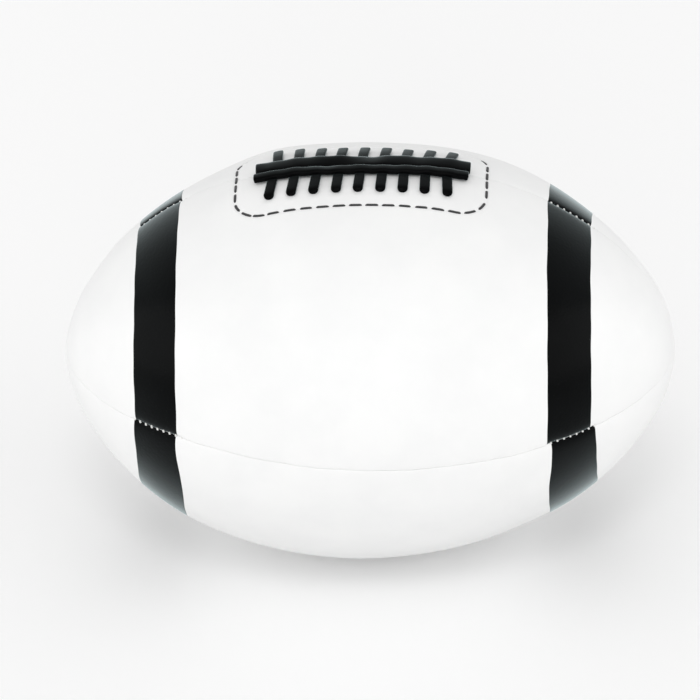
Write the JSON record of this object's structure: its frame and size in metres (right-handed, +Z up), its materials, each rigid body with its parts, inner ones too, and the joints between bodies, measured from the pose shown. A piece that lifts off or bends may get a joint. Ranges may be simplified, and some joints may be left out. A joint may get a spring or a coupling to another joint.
{
  "type": "laced football",
  "caption": "Laced football: pointed panels sewn edge to edge with inset end stripes, lacing over a slit, an air bladder inside and a needle valve; thrown, carried and kicked.",
  "frame": {"origin": "middle of the ball, on its long axis", "axes": "+X along the long axis to the right in the picture, +Z up through the middle of the lacing, -Y towards the front panel with the bare print area"},
  "size_m": [0.266, 0.182, 0.1854],
  "materials": {
    "cover_white": "smooth white synthetic leather with a faint grain",
    "stripe_black": "black synthetic leather strip, fine pebble grain, satin",
    "lining_cloth": "woven cotton lining, unbleached",
    "thread_white": "waxed white sewing thread",
    "thread_black": "black sewing thread, slight sheen",
    "lace_black": "smooth black moulded lace, satin gloss",
    "facing_cloth": "stiff woven backing",
    "tongue_hide": "thin dark synthetic leather, matt",
    "bladder_rubber": "matt black butyl rubber",
    "valve_rubber": "dark grey moulded rubber, matt",
    "plug_rubber": "soft black rubber, matt"
  },
  "bodies": {
    "root": {"panel_front_upper": "cover_white", "panel_front_lower": "cover_white", "panel_back_lower": "cover_white", "panel_back_upper": "cover_white", "stripe_front_upper_left": "stripe_black", "stripe_front_upper_right": "stripe_black", "stripe_front_lower_left": "stripe_black", "stripe_front_lower_right": "stripe_black", "stripe_back_lower_left": "stripe_black", "stripe_back_lower_right": "stripe_black", "stripe_back_upper_left": "stripe_black", "stripe_back_upper_right": "stripe_black", "lining_front_upper": "lining_cloth", "lining_front_lower": "lining_cloth", "lining_back_lower": "lining_cloth", "lining_back_upper": "lining_cloth", "seam_thread_top": "thread_white", "seam_thread_front": "thread_white", "seam_thread_bottom": "thread_white", "seam_thread_back": "thread_white", "cross_lace": "lace_black", "long_lace_front": "lace_black", "long_lace_back": "lace_black", "lace_facing_front": "facing_cloth", "lace_facing_back": "facing_cloth", "facing_stitches_front": "thread_black", "facing_stitches_back": "thread_black", "lace_tongue": "tongue_hide", "bladder": "bladder_rubber", "valve_sleeve": "valve_rubber", "valve_plug": "plug_rubber", "valve_patch": "facing_cloth"}
  },
  "joints": []
}
